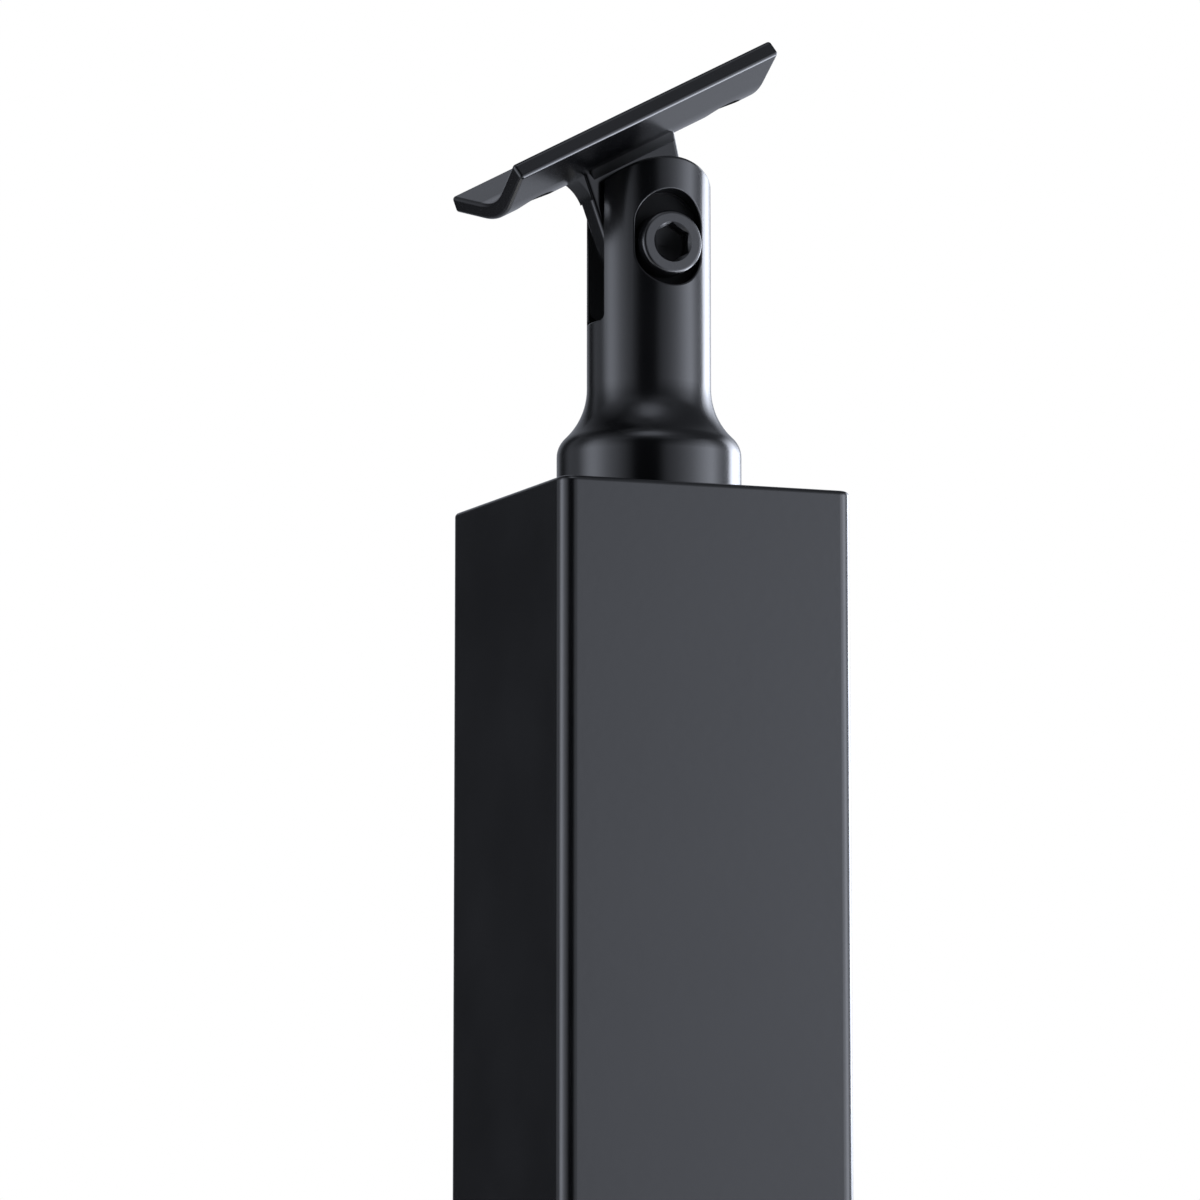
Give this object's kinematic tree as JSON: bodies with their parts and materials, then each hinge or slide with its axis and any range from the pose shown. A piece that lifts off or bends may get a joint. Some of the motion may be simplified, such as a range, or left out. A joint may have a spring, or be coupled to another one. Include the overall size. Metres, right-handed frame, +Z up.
{
  "type": "cable railing post",
  "caption": "Black square railing post on a foot plate, with a turning stem on top and a tilting trough-shaped saddle that carries the handrail.",
  "frame": {"origin": "under the middle of the foot plate, on the floor", "axes": "+Z up the post, +X towards the uphill end of the saddle, -Y the side with the screw head"},
  "size_m": [0.1, 0.1, 0.9247],
  "materials": {
    "post_coat": "satin black powder coat, fine grain",
    "fitting_coat": "smooth satin black powder coat",
    "black_screw": "black oxide, satin",
    "plain_steel": "zinc plated",
    "washer_nylon": "black nylon, matt"
  },
  "bodies": {
    "post": {"base_plate": "post_coat", "post_tube": "post_coat", "foot_weld": "post_coat", "top_plate": "post_coat", "weld_nut": "plain_steel", "stem_stud": "plain_steel"},
    "stem": {"swivel_stem": "fitting_coat", "pivot_screw": "black_screw", "friction_washers": "washer_nylon"},
    "saddle": {"saddle_tongue": "fitting_coat", "saddle_plate": "fitting_coat", "saddle_welds": "fitting_coat"}
  },
  "joints": [
    {"name": "stem_swivel", "type": "hinge", "parent": "post", "child": "stem", "pos_m": [0, 0, 0.85], "axis": [0, 0, 1], "range_deg": [-180, 180]},
    {"name": "saddle_tilt", "type": "hinge", "parent": "stem", "child": "saddle", "pos_m": [0, 0, 0.8912], "axis": [0, -1, 0], "range_deg": [-118.4, 61.6]}
  ]
}
